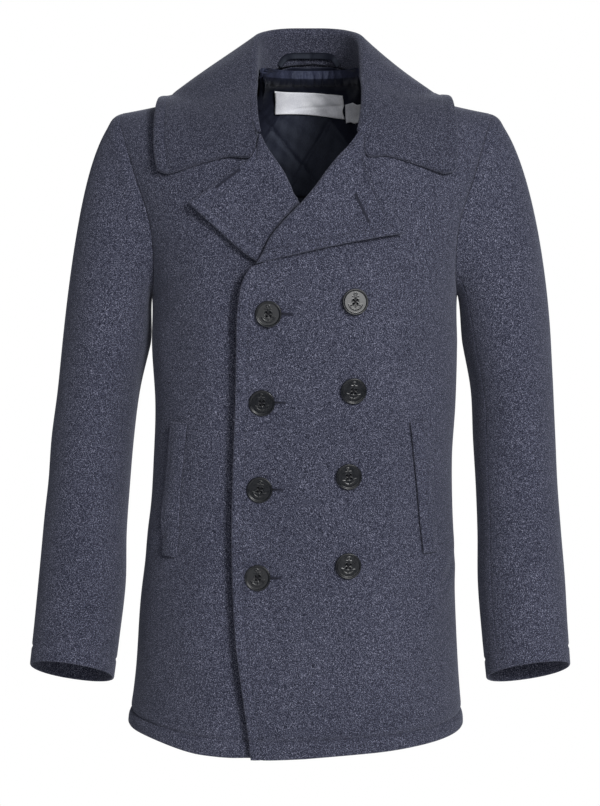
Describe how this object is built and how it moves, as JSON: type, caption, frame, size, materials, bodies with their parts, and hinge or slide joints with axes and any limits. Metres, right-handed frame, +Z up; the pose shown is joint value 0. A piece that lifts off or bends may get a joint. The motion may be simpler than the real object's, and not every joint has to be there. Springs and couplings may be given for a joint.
{
  "type": "pea coat",
  "caption": "Double-breasted wool pea coat with a broad turned collar, notched lapels, two-piece sleeves and slanted pocket welts, open as worn.",
  "frame": {"origin": "on the shoulder line, midway between the shoulder tips and level with the side neck points, where the wearer's shoulders carry the coat", "axes": "+Z up, the front faces -Y, +X towards the wearer's left"},
  "size_m": [0.6415, 0.2674, 0.8459],
  "materials": {
    "melton": "blue-grey heathered wool melton, brushed and matt",
    "button": "black moulded resin with a raised rim, semi-gloss",
    "lining": "black satin",
    "label_tape": "bare white woven tape"
  },
  "bodies": {
    "root": {"front_left": "melton", "front_right": "melton", "back_right": "melton", "back_left": "melton", "top_sleeve_right": "melton", "under_sleeve_right": "melton", "top_sleeve_left": "melton", "under_sleeve_left": "melton", "lapel_left": "melton", "lapel_right": "melton", "collar": "melton", "pocket_welt_right": "melton", "pocket_welt_left": "melton", "button_r1": "button", "button_r2": "button", "button_r3": "button", "button_r4": "button", "button_l1": "button", "button_l2": "button", "button_l3": "button", "button_l4": "button", "lining_back": "lining", "neck_label": "label_tape", "care_label": "label_tape", "hanger_loop": "lining"}
  },
  "joints": []
}
